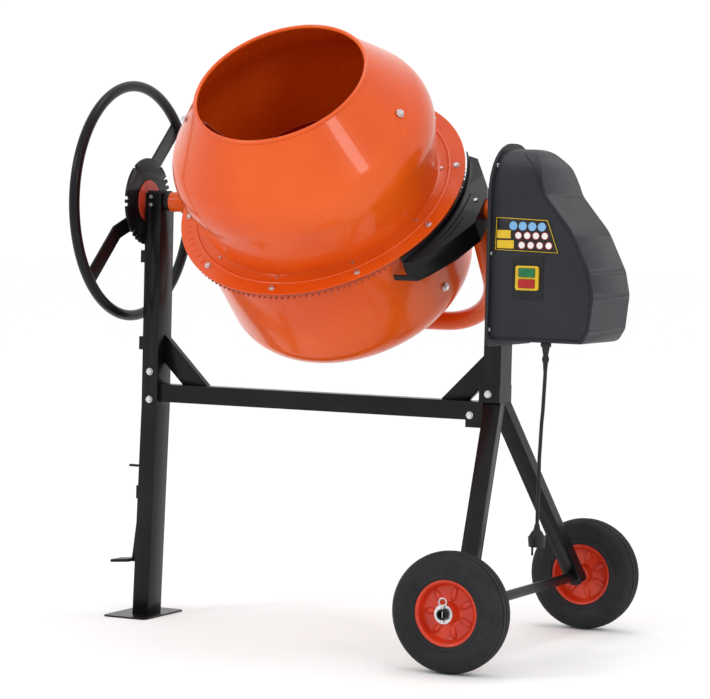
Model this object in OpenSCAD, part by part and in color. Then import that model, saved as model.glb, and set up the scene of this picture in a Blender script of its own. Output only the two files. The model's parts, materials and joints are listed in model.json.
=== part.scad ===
/* [Stand] */
// Height of the tilt axis above the ground
axis_z = 940; // [900:5:1000]
// Distance of the left post's centre from the drum's axis
left_post_x = 423; // [415:1:460]
// Distance of the right post's centre from the drum's axis
right_post_x = 416; // [412:1:450]
// Width of a post along the machine
post_w = 40; // [36:1:46]
// Depth of a post
post_d = 60; // [54:1:70]
// Wall of every square tube
tube_wall = 3; // [2:0.5:4]
// Height of the left post's top above the tilt axis
left_post_top = 19; // [18:1:30]
// Height of the right post's top above the tilt axis
right_post_top = 45; // [35:1:60]
// Height of the joint between left post and left leg
leg_joint_z = 478; // [440:1:486]
// How far the foot of the left leg stands outside its top
leg_lean = 13; // [0:1:20]
// Length of the spigot that joins leg and post
spigot_l = 92; // [80:1:110]
// Foot plate along the machine
foot_w = 111; // [90:1:130]
// Foot plate across the machine
foot_d = 180; // [140:5:220]
// Foot plate thickness
foot_t = 4; // [3:0.5:6]
// How far the foot plate's centre stands outside the leg's
foot_shift = 8; // [0:1:20]
// Side of the square cross beam
beam_s = 40; // [36:1:44]
// Height of the cross beam's centre
beam_z = 508; // [500:1:530]
// Width of a corner brace
brace_w = 45; // [36:1:50]
// Side of the open triangle behind a brace
brace_gap = 48; // [30:1:60]
// Depth of a brace, which stands at the beam's rear
brace_d = 20; // [14:1:30]

/* [Wheels] */
// Wheel diameter
wheel_d = 250; // [230:5:300]
// Tyre width
tyre_w = 68; // [50:1:80]
// Rim radius
rim_r = 68; // [60:1:80]
// Distance between the two wheels' centres
track = 747; // [700:1:860]
// Axle position from the drum's axis
axle_x = 485; // [470:1:520]
// Axle radius
axle_r = 11; // [10:0.5:13]
// Leg tube width along the machine
wheel_leg_w = 38; // [34:1:44]
// Leg tube thickness
wheel_leg_t = 25; // [22:1:34]

/* [Drum] */
// Tilt of the drum's axis from upright
drum_tilt = 43; // [30:1:55]
// Radius of the bowl at its top
bowl_r = 295; // [285:1:296]
// Depth of the bowl below the tilt axis
bowl_depth = 258; // [240:1:262]
// Radius of the bowl's side where it would meet the bottom
bowl_low_r = 276; // [250:1:280]
// Rounding of the bowl's bottom edge
bowl_round = 84; // [50:1:110]
// Sheet thickness of bowl and upper shell
sheet_t = 3; // [2:0.5:4]
// Radius of the upper shell where it leaves the ring
shell_base_r = 264; // [255:1:270]
// Radius of the upper shell's belly corner before rounding
shell_belly_r = 300; // [290:1:310]
// Height of that corner above the tilt axis
shell_belly_h = 206; // [180:1:220]
// Rounding of the belly
shell_round = 106; // [60:1:120]
// Radius of the mouth
mouth_r = 194; // [180:1:205]
// Height of the mouth above the tilt axis, along the drum
mouth_h = 350; // [330:1:365]
// Radius of the rolled lip
lip_r = 4.5; // [3:0.5:6]
// Outer radius of the ring flange
ring_r = 324.5; // [323:0.5:330]
// Number of ring bolts
ring_bolts_n = 10; // [6:1:12]

/* [Gears] */
// Crown gear teeth
crown_teeth = 144; // [120:2:150]
// Pinion teeth
pinion_teeth = 12; // [10:1:13]
// Radius of the crown gear's teeth at their middle
crown_pitch_r = 308; // [307:0.5:309]
// Length of a crown tooth along the radius
tooth_l = 24; // [20:1:26]
// Width of a crown tooth
tooth_w = 4; // [3.5:0.1:4.2]
// Width of the pinion
pinion_w = 18; // [12:1:20]
// Thickness of the crown gear's plate
crown_plate_t = 6; // [5:0.5:8]
// Radius of the drive shaft
shaft_r = 10; // [8:0.5:12]

/* [Yoke] */
// Radius of the yoke tube
yoke_tube_r = 21; // [18:1:23]
// Depth of the yoke's lowest run below the tilt axis
yoke_depth = 345; // [338:1:352]
// Distance of the yoke's arms from the drum's axis at the tilt axis
yoke_arm_x = 354; // [350:1:360]
// How far the arms lean inwards over the yoke's depth
yoke_lean = 28; // [10:1:34]
// Bend radius of the yoke tube
yoke_bend = 150; // [100:5:170]
// Radius of the trunnion bosses and of the motor-side trunnion
trunnion_r = 22.5; // [22:0.5:24]
// Radius of the handwheel shaft
pin_r = 15; // [13:0.5:17]
// Radius of the drum's spindle
spindle_r = 15; // [12:0.5:20]
// Radius of the drum's bearing housing
bearing_r = 38; // [30:1:45]

/* [Handwheel] */
// Outer radius of the handwheel
handwheel_r = 272; // [240:1:300]
// Radius of its rim tube
rim_tube_r = 12; // [9:0.5:13]
// Distance of the handwheel's plane from the drum's axis
handwheel_x = 490; // [486:1:510]
// Width of the spoke bar
spoke_w = 37; // [24:1:44]
// Thickness of the spoke bar
spoke_t = 6; // [5:0.5:8]
// Radius of the notched disc
disc_r = 98; // [90:1:105]
// Thickness of the notched disc
disc_t = 6; // [5:0.5:8]
// Radius of the hub disc
hub_r = 48; // [40:1:52]

/* [Lock] */
// Radius of the lock rod
rod_r = 4; // [3.5:0.5:5]
// Height of the pedal
pedal_z = 119; // [105:1:150]
// Distance of the pedal's tip from the drum's axis
pedal_tip_x = 520; // [505:1:540]
// Width of the pedal
pedal_w = 50; // [40:1:60]
// Travel of the lock rod
rod_travel = 25; // [15:1:28]

/* [Motor housing] */
// Half width of the housing's flange
flange_half = 125; // [120:1:135]
// Height of the flange's top above the tilt axis
flange_top = 141; // [135:1:155]
// Depth of the flange's bottom below the tilt axis
flange_low = 288; // [284:1:300]
// Corner radius at the top of the flange
flange_round = 112; // [80:1:118]
// How far the cover's body stands inside its flange
cover_inset = 18; // [14:1:20]
// Distance of the cover's end from the drum's axis
cover_end_x = 672; // [668:1:700]
// Wall of the cover
cover_wall = 3; // [2.5:0.5:4]
// Height of the motor's axis below the tilt axis
motor_drop = 170; // [165:1:172]
// Radius of the motor
motor_r = 62; // [50:1:63]
// Length of the motor
motor_l = 140; // [110:1:142]
// Radius of the large pulley's belt seat
large_pulley_r = 97.5; // [80:0.5:99]
// Radius of the motor pulley's belt seat
motor_pulley_r = 13; // [11:0.5:18]
// Width of the belt
belt_w = 16; // [12:1:18]
// Side of the square switch frame
switch_s = 51; // [46:1:56]
// Travel of a switch button
button_travel = 2.5; // [2:0.5:3]

/* [Cord] */
// Diameter of the power cord
cord_d = 8; // [7:0.5:9]

/* [Hidden] */
$fn = 48;

orange = [0.93, 0.33, 0.10];
black = [0.12, 0.12, 0.13];
zinc = [0.78, 0.79, 0.80];
charcoal = [0.22, 0.23, 0.25];

// Clearances
running = 0.05;
loose = 0.3;
easy = 1.5;
eps = 0.01;

// Places along the machine
drum_x = (pedal_tip_x - cover_end_x) / 2;
left_face = -left_post_x - post_w / 2;
left_inner = -left_post_x + post_w / 2;
right_inner = right_post_x - post_w / 2;
right_face = right_post_x + post_w / 2;
leg_left = right_inner + 2;

// Stand
beam_top = beam_z + beam_s / 2;
beam_low = beam_z - beam_s / 2;
bolt_r = 4;
bolt_hole = bolt_r + 0.15;
head_r = 7;
head_h = 5.5;
joint_bolts = [[-left_post_x, beam_z + 48], [-left_post_x, beam_z - 15]];
bracket_t = 3;
bracket_x = right_inner - 38;
bracket_low = beam_low - 15;
bracket_top = beam_top + 36;
small_bolt_r = 2.5;
bearing_screws = [[-left_post_x - 5, axis_z + 11], [-left_post_x - 5, axis_z - 7]];
corner_bolts = [[right_inner + 13, beam_top + 18], [bracket_x + 10, beam_z - 9]];

// Wheels
wheel_r = wheel_d / 2;
wheel_y = track / 2;
hub_half = tyre_w / 2 + 2;
washer_t = 2.5;
axle_half = wheel_y + hub_half + washer_t + 9;
clip_y = wheel_y + hub_half + washer_t + 3.5;
clip_r = 1.6;
leg_top_y = wheel_leg_t / 2;
leg_foot_y = wheel_y - hub_half - 24;
leg_end_y = wheel_y - hub_half - 5;

// Gears
pitch_angle = 360 / crown_teeth;
gear_module = 2 * crown_pitch_r / crown_teeth;
pinion_pitch_r = gear_module * pinion_teeth / 2;
addendum = 0.8 * gear_module;
dedendum = 1.25 * gear_module;
tooth_tip_h = pinion_pitch_r - addendum;
crown_low = pinion_pitch_r + dedendum;
crown_top = crown_low + crown_plate_t;
crown_bore = bowl_r + loose;
crown_web = crown_bore + 2.7;
crown_out = crown_pitch_r + tooth_l / 2 + 1;

// Drum
bowl_flange_top = crown_top + sheet_t - 0.5;
ring_top = bowl_flange_top + sheet_t - 0.5;
bead_r = 289;
ring_bolt_r = 305;
ring_bolt_a = 17.5;
rivet_r = shell_base_r + 8;
mouth_seam = mouth_r - lip_r + 1;
bearing_top = bowl_depth + 4;
blade_t = 4;
bowl_lean = atan((bowl_r - bowl_low_r) / (bowl_depth + 20));
shell_lean = atan((shell_belly_r - mouth_r) / (mouth_h - shell_belly_h));
blades = [[on_bowl(-151, -18), on_shell(268, 0)], [on_bowl(-151, 162), on_shell(300, 195)]];

// Yoke
yoke_wall = 3;
trunnion_in = yoke_arm_x - trunnion_r - 2;
collar_l = 11;
trunnion_out = right_face + 10;
guard_r = ring_r + 3.5;
guard_top = trunnion_r + 5;
guard_low = 26;
guard_t = 2;
guard_rise = ring_top - 1.5;
guard_steps = 20;
guard_side = right_inner - 12;

// Handwheel, from the post outwards
hub_in = -left_face + 0.6;
disc_in = hub_in + 8.4;
spoke_in = disc_in + disc_t;
pin_out = spoke_in;
spoke_angle = 43;
rim_centre_r = handwheel_r - rim_tube_r;
notch_w = 7;
notch_l = 12;
notch_step = 9;
notch_groups = [[-132, 5], [16, 3], [128, 1], [176, 2], [56, 1]];

// Lock, all at the disc's middle
rod_x = disc_in + disc_t / 2;
rod_top = axis_z - disc_r - 0.6;
rod_low = 240;
guide_places = [[rod_top - 40, 28], [604, 30], [264, 30]];
guide_w = 24;
spring_low = guide_places[2][0] + guide_places[2][1];
spring_pin_z = spring_low + 44;
spring_pin_r = 3;
spring_turns = 6;
strap_w = 20;
strap_t = 6;
strap_out = 14;
pedal_t = 7;

// Motor housing
plate_t = 3;
flange_x = right_face + plate_t;
flange_t = 4;
body_half = flange_half - cover_inset;
cover_low = axis_z - flange_low + 12;
cover_top = axis_z + flange_top - 12;
pulley_x = flange_x + 13;
pulley_w = belt_w + 8;
belt_t = 4;
motor_x = pulley_x + pulley_w + 9;
motor_z = axis_z - motor_drop;
rotor_r = 8;
core_r = 24;
core_l = 60;
screw_edge = cover_inset / 2;
screw_arc = 38;
screw_places = [[flange_half - screw_edge, axis_z - 252], [flange_half - screw_edge, axis_z - 92],
    [flange_half - flange_round + (flange_round - screw_edge) * cos(screw_arc),
        axis_z + flange_top - flange_round + (flange_round - screw_edge) * sin(screw_arc)]];
label_t = 1.5;
switch_x = flange_x + 86;
switch_z = axis_z - 141.5;
switch_y = -body_half;
button = [37, 19];
button_gap = 0.5;
button_h = 8;
button_z = 11.5;

// Cord, hanging from its gland
gland_x = 558;
gland_y = -80;
gland_l = 27;
cord_route = [[558, -80, 630], [558, -80, 615], [558, -80, 595], [557, -80, 570],
    [556, -80, 545], [555, -80, 520], [553, -80, 495], [552, -80, 470], [551, -80, 445],
    [550, -80, 420], [550, -80, 395], [550, -80, 370], [550, -80, 345], [549, -80, 320],
    [549, -80, 300], [549, -80, 282]];
plug_l = 48;
plug_pin_r = 2.4;
plug_pin_l = 19;
plug_pin_gap = 19;

// --- shared shapes ---

module machine() {
    translate([drum_x, 0, 0]) children();
}

module at_axis() {
    machine() translate([0, 0, axis_z]) children();
}

module tilted() {
    at_axis() rotate([drum_tilt, 0, 0]) children();
}

module bar_x(x0, x1, r) {
    translate([x0, 0, 0]) rotate([0, 90, 0]) cylinder(h = x1 - x0, r = r);
}

module bar_y(y0, y1, r) {
    translate([0, y1, 0]) rotate([90, 0, 0]) cylinder(h = y1 - y0, r = r);
}

module box_tube(w, d, h, wall) {
    difference() {
        translate([-w / 2, -d / 2, 0]) cube([w, d, h]);
        translate([-w / 2 + wall, -d / 2 + wall, -1]) cube([w - 2 * wall, d - 2 * wall, h + 2]);
    }
}

module rounded_plate(w, d, r) {
    square([w - 2 * r, d], center = true);
    square([w, d - 2 * r], center = true);
    for (x = [-1, 1], y = [-1, 1])
        translate([x * (w / 2 - r), y * (d / 2 - r)]) circle(r);
}

module wire_ring(big_r, wire_r) {
    rotate_extrude() translate([big_r, 0]) circle(wire_r);
}

// Arc of radius r that rounds the corner k between a and b
function corner_arc(a, k, b, r, n) =
    let (ua = (a - k) / norm(a - k), ub = (b - k) / norm(b - k),
         half = acos(ua * ub) / 2,
         c = k + (ua + ub) / norm(ua + ub) * r / sin(half),
         pa = k + ua * r / tan(half) - c, pb = k + ub * r / tan(half) - c,
         a0 = atan2(pa.y, pa.x), turn = atan2(pb.y, pb.x) - a0,
         sweep = turn > 180 ? turn - 360 : turn < -180 ? turn + 360 : turn)
    [for (i = [0:n]) c + r * [cos(a0 + sweep * i / n), sin(a0 + sweep * i / n)]];

// Outline with each corner rounded by its own radius
function rounded(points, radii) =
    let (n = len(points))
    [for (i = [0:n - 1]) each radii[i] == 0 ? [points[i]]
        : corner_arc(points[(i + n - 1) % n], points[i], points[(i + 1) % n], radii[i], 8)];

// Outline moved inwards by d, for points that run anticlockwise
function inset(points, d) =
    let (n = len(points))
    [for (i = [0:n - 1])
        let (e0 = points[i] - points[(i + n - 1) % n], e1 = points[(i + 1) % n] - points[i],
             n0 = [-e0.y, e0.x] / norm(e0), n1 = [-e1.y, e1.x] / norm(e1))
        points[i] + d * (n0 + n1) / (1 + n0 * n1)];

// Faces of a closed tube whose rings turn anticlockwise seen from its far end
function tube_faces(rings, sides) = concat(
    [[for (j = [0:sides - 1]) j]],
    [[for (j = [sides - 1:-1:0]) (rings - 1) * sides + j]],
    [for (i = [0:rings - 2], j = [0:sides - 1])
        [i * sides + j, (i + 1) * sides + j, (i + 1) * sides + (j + 1) % sides,
         i * sides + (j + 1) % sides]]);

// --- stand ---

module foot_plate() {
    color(black) machine() translate([-left_post_x - leg_lean - foot_shift, 0, 0])
        linear_extrude(foot_t) rounded_plate(foot_w, foot_d, 12);
}

module lower_leg_block(w, d) {
    lean = atan(leg_lean / (leg_joint_z - foot_t));
    intersection() {
        translate([-left_post_x, 0, leg_joint_z]) rotate([0, lean, 0])
            translate([-w / 2, -d / 2, -leg_joint_z - 20]) cube([w, d, leg_joint_z + 40]);
        translate([-2 * left_post_x, -d, foot_t]) cube([2 * left_post_x, 2 * d, leg_joint_z - foot_t]);
    }
}

module left_leg() {
    sleeve = tube_wall + loose;
    color(black) machine() difference() {
        union() {
            difference() {
                lower_leg_block(post_w, post_d);
                translate([0, 0, -5]) lower_leg_block(post_w - 2 * tube_wall, post_d - 2 * tube_wall);
            }
            translate([-left_post_x, 0, leg_joint_z - 6])
                box_tube(post_w - 2 * sleeve, post_d - 2 * sleeve, spigot_l + 6, tube_wall);
        }
        joint_holes(joint_bolts);
    }
}

module joint_holes(places) {
    for (p = places) translate([p.x, 0, p.y]) bar_y(-post_d, post_d, bolt_hole);
}

module left_post() {
    color(black) machine() difference() {
        union() {
            translate([-left_post_x, 0, leg_joint_z])
                box_tube(post_w, post_d, axis_z + left_post_top - leg_joint_z, tube_wall);
            translate([0, 0, axis_z]) bar_x(left_inner - 1, left_inner + collar_l, pin_r + easy + 4);
        }
        joint_holes(joint_bolts);
        translate([0, 0, axis_z]) bar_x(left_face - 1, left_inner + collar_l + 1, pin_r + easy);
        bearing_screw_holes();
    }
}

module cross_beam() {
    color(black) machine() difference() {
        translate([left_inner, 0, beam_z]) rotate([0, 90, 0])
            box_tube(beam_s, beam_s, leg_left - left_inner, tube_wall);
        joint_holes(corner_bolts);
    }
}

module brace(corner_x, side) {
    run = brace_gap + brace_w * sqrt(2);
    outline = [[0, brace_gap], [brace_gap, 0], [run, 0], [0, run]];
    translate([corner_x, beam_s / 2, beam_top]) rotate([90, 0, 0]) linear_extrude(brace_d)
        polygon([for (p = outline) [side * p.x, p.y]]);
}

module left_brace() {
    color(black) machine() brace(left_inner, 1);
}

module right_brace() {
    color(black) machine() brace(right_inner, -1);
}

module right_post() {
    color(black) machine() difference() {
        translate([right_post_x, 0, beam_top])
            box_tube(post_w, post_d, axis_z + right_post_top - beam_top, tube_wall);
        joint_holes(corner_bolts);
        translate([0, 0, axis_z]) bar_x(right_inner - 1, right_face + 1, trunnion_r + easy);
    }
}

module bracket_plate() {
    neck = 8;
    polygon([[bracket_x, bracket_low], [leg_left, bracket_low], [leg_left, beam_top],
        [right_face, beam_top], [right_face, bracket_top], [right_inner - neck, bracket_top],
        [right_inner - neck, beam_top], [bracket_x, beam_top]]);
}

module junction_bracket() {
    spacer_l = (post_d - beam_s) / 2;
    color(black) machine() difference() {
        for (side = [0, 1]) mirror([0, side, 0]) {
            translate([0, -post_d / 2, 0]) rotate([90, 0, 0]) linear_extrude(bracket_t) bracket_plate();
            translate([corner_bolts[1].x, 0, corner_bolts[1].y])
                bar_y(-post_d / 2, -post_d / 2 + spacer_l, bolt_r + 5);
        }
        joint_holes(corner_bolts);
    }
}

module wheel_leg() {
    top = [leg_left + wheel_leg_w / 2, -leg_top_y, beam_top];
    foot = [axle_x, -leg_foot_y, wheel_r];
    run = top - foot;
    turn_y = asin(run.x / norm(run));
    turn_x = -atan2(run.y, run.z);
    difference() {
        intersection() {
            translate(foot) rotate([turn_x, 0, 0]) rotate([0, turn_y, 0]) translate([0, 0, -60])
                box_tube(wheel_leg_w, wheel_leg_t, norm(run) + 120, tube_wall);
            union() {
                translate([leg_left, -leg_end_y, wheel_r]) cube([200, leg_end_y, beam_top - wheel_r]);
                translate([axle_x, 0, wheel_r]) bar_y(-leg_end_y, -1, axle_r + 10);
            }
        }
        translate([axle_x, 0, wheel_r]) bar_y(-axle_half, 0, axle_r + 0.15);
    }
}

module front_leg() {
    color(black) machine() wheel_leg();
}

module rear_leg() {
    color(black) machine() mirror([0, 1, 0]) wheel_leg();
}

module left_bearing() {
    low = 28;
    color(charcoal) at_axis() difference() {
        translate([-left_post_x - post_w / 2 + tube_wall + loose, -post_d / 2 + tube_wall + loose, -low])
            cube([post_w - 2 * tube_wall - 2 * loose, post_d - 2 * tube_wall - 2 * loose,
                low + left_post_top + 6]);
        bar_x(left_face, left_inner, pin_r + running);
        translate([0, 0, -axis_z]) bearing_screw_holes();
    }
}

module right_bearing() {
    half = 35;
    color(charcoal) at_axis() difference() {
        translate([right_inner + tube_wall + loose, -post_d / 2 + tube_wall + loose, -half])
            cube([post_w - 2 * tube_wall - 2 * loose, post_d - 2 * tube_wall - 2 * loose, 2 * half]);
        bar_x(right_inner, right_face, trunnion_r + running);
    }
}

module bearing_screw_holes() {
    for (p = bearing_screws) translate([p.x, 0, p.y])
        bar_y(-post_d, -pin_r - 3, small_bolt_r + 0.15);
}

module hex_bolt_y(y0, y1, r, head, height) {
    bar_y(y0, y1, r);
    translate([0, y0, 0]) rotate([90, 0, 0]) cylinder(h = height, r = head, $fn = 6);
}

module frame_bolts() {
    color(zinc) machine() {
        for (p = joint_bolts) translate([p.x, 0, p.y]) through_bolt(post_d / 2);
        for (p = corner_bolts) translate([p.x, 0, p.y]) through_bolt(post_d / 2 + bracket_t);
        for (p = bearing_screws) translate([p.x, 0, p.y])
            hex_bolt_y(-post_d / 2, -pin_r - 4, small_bolt_r, 4.5, 3);
    }
}

module through_bolt(half) {
    hex_bolt_y(-half, half + head_h + 2, bolt_r, head_r, head_h);
    translate([0, half, 0]) mirror([0, 1, 0]) rotate([90, 0, 0]) cylinder(h = head_h, r = head_r, $fn = 6);
}

// --- wheels ---

module on_axle() {
    machine() translate([axle_x, 0, wheel_r]) children();
}

module wheel_axle() {
    color(black) on_axle() difference() {
        bar_y(-axle_half, axle_half, axle_r);
        for (side = [-1, 1]) {
            translate([0, side * clip_y, -axle_r - 1]) cylinder(h = 2 * axle_r + 2, r = clip_r + 0.15);
            bar_y(side > 0 ? axle_half - 20 : -axle_half - 1, side > 0 ? axle_half + 1 : -axle_half + 20,
                axle_r - 4);
        }
    }
}

module axle_washers() {
    color(zinc) on_axle() for (side = [0, 1]) mirror([0, side, 0]) difference() {
        bar_y(wheel_y + hub_half + loose, wheel_y + hub_half + washer_t, 20);
        bar_y(wheel_y, axle_half + 1, axle_r + 0.15);
    }
}

module axle_clips() {
    leg = axle_r + 6;
    loop_r = 8;
    color(zinc) on_axle() for (side = [-1, 1]) translate([0, side * clip_y, 0]) {
        translate([0, 0, -leg]) cylinder(h = 2 * leg, r = clip_r);
        translate([0, 0, leg + loop_r]) rotate([90, 0, 0]) wire_ring(loop_r, clip_r);
    }
}

module tyre() {
    half = tyre_w / 2;
    shoulder = 24;
    rotate([90, 0, 0]) rotate_extrude() polygon(rounded(
        [[rim_r + running, -half + 6], [wheel_r, -half], [wheel_r, half], [rim_r + running, half - 6]],
        [0, shoulder, shoulder, 0]));
}

module rim() {
    half = tyre_w / 2 - 8;
    web_in = -2;
    rotate([90, 0, 0]) rotate_extrude() polygon([
        [axle_r + running, -hub_half], [21, -hub_half], [21, web_in - 4], [rim_r - 6, web_in - 4],
        [rim_r - 6, -half], [rim_r, -half], [rim_r, half], [rim_r - 6, half], [rim_r - 6, web_in + 4],
        [21, web_in + 4], [21, hub_half], [axle_r + running, hub_half]]);
}

module front_tyre() {
    color([0.13, 0.14, 0.15]) on_axle() translate([0, -wheel_y, 0]) tyre();
}

module front_rim() {
    color([0.93, 0.25, 0.12]) on_axle() translate([0, -wheel_y, 0]) rim();
}

module rear_tyre() {
    color([0.13, 0.14, 0.15]) on_axle() translate([0, wheel_y, 0]) tyre();
}

module rear_rim() {
    color([0.93, 0.25, 0.12]) on_axle() translate([0, wheel_y, 0]) rim();
}

// --- yoke and handwheel ---

// Centre line of the yoke from its middle to one arm's top, as [x, height, direction]
function yoke_half(side) =
    let (lean = atan(yoke_lean / yoke_depth), foot = yoke_arm_x - yoke_lean,
         tangent = yoke_bend * tan((90 - lean) / 2), steps = 10, turn = 90 - lean)
    concat([for (i = [0:steps]) let (a = turn * i / steps)
            [side * (foot - tangent + yoke_bend * sin(a)), -yoke_depth + yoke_bend * (1 - cos(a)), side * a]],
        [[side * yoke_arm_x, 0, side * turn]]);

module yoke_line(r) {
    sides = 32;
    line = concat(reversed(yoke_half(-1)), yoke_half(1));
    last = len(line) - 1;
    points = [for (p = line, j = [0:sides - 1])
        let (b = 360 * j / sides)
        [p.x - r * sin(b) * sin(p[2]), r * cos(b), p.y + r * sin(b) * cos(p[2])]];
    polyhedron(points, tube_faces(last + 1, sides));
}

module yoke_tube() {
    color(orange) tilted() difference() {
        yoke_line(yoke_tube_r);
        yoke_line(yoke_tube_r - yoke_wall);
        bar_x(-yoke_arm_x - 60, -yoke_arm_x + 60, trunnion_r);
        bar_x(yoke_arm_x - 60, yoke_arm_x + 60, trunnion_r);
    }
}

module left_trunnion() {
    color(orange) at_axis() {
        bar_x(left_inner + collar_l + 2, -trunnion_in, trunnion_r);
        bar_x(-pin_out, left_inner + collar_l + 2, pin_r);
    }
}

module right_trunnion() {
    color(orange) at_axis() difference() {
        bar_x(trunnion_in, trunnion_out, trunnion_r);
        bar_x(trunnion_in - 1, trunnion_out + 1, shaft_r + running);
    }
}

module handwheel_rim() {
    color(black) at_axis() translate([-handwheel_x, 0, 0]) rotate([0, 90, 0])
        wire_ring(rim_centre_r, rim_tube_r);
}

module handwheel_spoke() {
    bend_out = disc_r + 6;
    bend_in = disc_r - 36;
    reach = rim_centre_r - rim_tube_r + 3;
    far = handwheel_x + spoke_t / 2;
    near = spoke_in + spoke_t;
    right_side = [[bend_in, -near], [bend_out, -far], [reach, -far], [reach, -far + spoke_t],
        [bend_out, -far + spoke_t], [bend_in, -near + spoke_t]];
    outline = concat(right_side, [for (i = [5:-1:0]) [-right_side[i].x, right_side[i].y]]);
    color(black) at_axis() difference() {
        rotate([spoke_angle, 0, 0]) translate([0, 0, -spoke_w / 2]) linear_extrude(spoke_w)
            polygon([for (p = outline) [p.y, p.x]]);
        translate([-handwheel_x, 0, 0]) rotate([0, 90, 0]) wire_ring(rim_centre_r, rim_tube_r);
    }
}

module notched_disc() {
    color(black) at_axis() difference() {
        bar_x(-disc_in - disc_t, -disc_in, disc_r);
        bar_x(-disc_in - disc_t - 1, -disc_in + 1, pin_r + running);
        for (g = notch_groups, k = [0:g[1] - 1])
            rotate([g[0] + k * notch_step, 0, 0])
                translate([-disc_in - disc_t - 1, disc_r - notch_l, -notch_w / 2])
                    cube([disc_t + 2, notch_l + 1, notch_w]);
    }
}

module hub_disc() {
    color([0.75, 0.20, 0.12]) at_axis() difference() {
        union() {
            bar_x(-disc_in, -disc_in + 3, hub_r);
            bar_x(-disc_in, -hub_in, pin_r + 8);
        }
        bar_x(-disc_in - 1, -hub_in + 1, pin_r + running);
    }
}

function guard_outline() = [[300, 140], [324, 131], [guard_side - 10, 46], [guard_side, 12],
    [guard_side, -71], [guard_side - 35, -132], [302, -184], [284, -199]];

function guard_arc(r) = [for (i = [0:guard_steps])
    let (a = -37.5 + 62.5 * i / guard_steps) r * [cos(a), sin(a)]];

module gear_guard() {
    outer = concat(guard_arc(guard_r), guard_outline());
    inner = inset(outer, -guard_t);
    hollow = concat(guard_arc(guard_r - 8),
        [for (i = [guard_steps + 1:len(outer) - 1]) inner[i]]);
    color(black) tilted() difference() {
        union() {
            translate([0, 0, -guard_low]) linear_extrude(guard_low + guard_top) polygon(outer);
            linear_extrude(guard_rise) polygon(concat(guard_arc(guard_r), reversed(guard_arc(guard_r + 3))));
            translate([228, outer[len(outer) - 1].y - 1, -guard_low]) cube([56, 3, 14]);
        }
        translate([0, 0, -guard_low - 1]) linear_extrude(guard_low + guard_top + 1 - guard_t)
            polygon(hollow);
        bar_x(guard_r - 10, guard_side + 10, trunnion_r + loose);
    }
}

module drum_bearing() {
    color(orange) tilted() difference() {
        translate([0, 0, -yoke_depth]) cylinder(h = yoke_depth - bearing_top, r = bearing_r);
        translate([0, 0, -yoke_depth]) bar_x(-bearing_r - 1, bearing_r + 1, yoke_tube_r);
        translate([0, 0, -yoke_depth]) cylinder(h = yoke_depth, r = spindle_r + running);
    }
}

// --- drive ---

module drive_shaft() {
    color(zinc) at_axis() bar_x(crown_pitch_r - pinion_w / 2, pulley_x + pulley_w + 3, shaft_r);
}

// Outline of the pinion, one trapezoid tooth at a time
function pinion_outline() =
    let (tip = pinion_pitch_r + addendum, root = pinion_pitch_r - dedendum, step = 360 / pinion_teeth)
    [for (k = [0:pinion_teeth - 1], e = [[root, -0.19], [tip, -0.085], [tip, 0.085], [root, 0.19]])
        e[0] * [cos(step * (k + e[1])), sin(step * (k + e[1]))]];

module pinion() {
    color(zinc) at_axis() difference() {
        translate([crown_pitch_r - pinion_w / 2, 0, 0]) rotate([drum_tilt + 90, 0, 0]) rotate([90, 0, 90])
            linear_extrude(pinion_w) polygon(pinion_outline());
        bar_x(crown_pitch_r - pinion_w, crown_pitch_r + pinion_w, shaft_r + running);
    }
}

module pulley(seat_r, width, bore_r, lip) {
    rotate([0, 90, 0]) rotate_extrude() polygon([[bore_r, 0], [seat_r + lip, 0], [seat_r + lip, 3],
        [seat_r, 4], [seat_r, width - 4], [seat_r + lip, width - 3], [seat_r + lip, width],
        [bore_r, width]]);
}

module large_pulley() {
    rim_t = 9;
    hub = shaft_r + 10;
    web_t = 6;
    color(charcoal) at_axis() translate([pulley_x, 0, 0]) difference() {
        pulley(large_pulley_r, pulley_w, shaft_r + running, 2);
        for (x = [-1, (pulley_w + web_t) / 2]) translate([x, 0, 0]) difference() {
            bar_x(0, (pulley_w - web_t) / 2 + 1, large_pulley_r - rim_t);
            bar_x(-1, pulley_w, hub);
        }
    }
}

module drive_belt() {
    big = large_pulley_r + loose + 0.1;
    small = motor_pulley_r + loose + 0.1;
    color([0.08, 0.08, 0.08]) at_axis() translate([pulley_x + (pulley_w - belt_w) / 2 + 0.5, 0, 0])
        rotate([90, 0, 90]) linear_extrude(belt_w - 1) difference() {
            belt_line(big + belt_t, small + belt_t);
            belt_line(big, small);
        }
}

module belt_line(big, small) {
    hull() {
        circle(big, $fn = 120);
        translate([0, -motor_drop]) circle(small, $fn = 60);
    }
}

module at_motor() {
    at_axis() translate([0, 0, -motor_drop]) children();
}

module motor_body() {
    color([0.35, 0.37, 0.40]) at_motor() difference() {
        union() {
            bar_x(motor_x, motor_x + motor_l, motor_r - 3);
            bar_x(motor_x + 8, motor_x + motor_l - 8, motor_r);
        }
        bar_x(motor_x - 1, motor_x + motor_l + 1, rotor_r + running);
        bar_x(motor_x + (motor_l - core_l) / 2 - 3, motor_x + (motor_l + core_l) / 2 + 3, core_r + 0.8);
    }
}

module motor_mount() {
    shelf_low = -motor_r - 18;
    shelf_t = 4;
    reach = motor_x + motor_l - 10;
    color([0.30, 0.31, 0.33]) at_motor() difference() {
        union() {
            translate([flange_x, -motor_r, shelf_low]) cube([reach - flange_x, 2 * motor_r, shelf_t]);
            for (x = [motor_x + 12, reach - 14])
                translate([x, -motor_r + 12, shelf_low]) cube([12, 2 * motor_r - 24, 30]);
        }
        bar_x(motor_x - 5, motor_x + motor_l + 5, motor_r + 0.15);
    }
}

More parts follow.
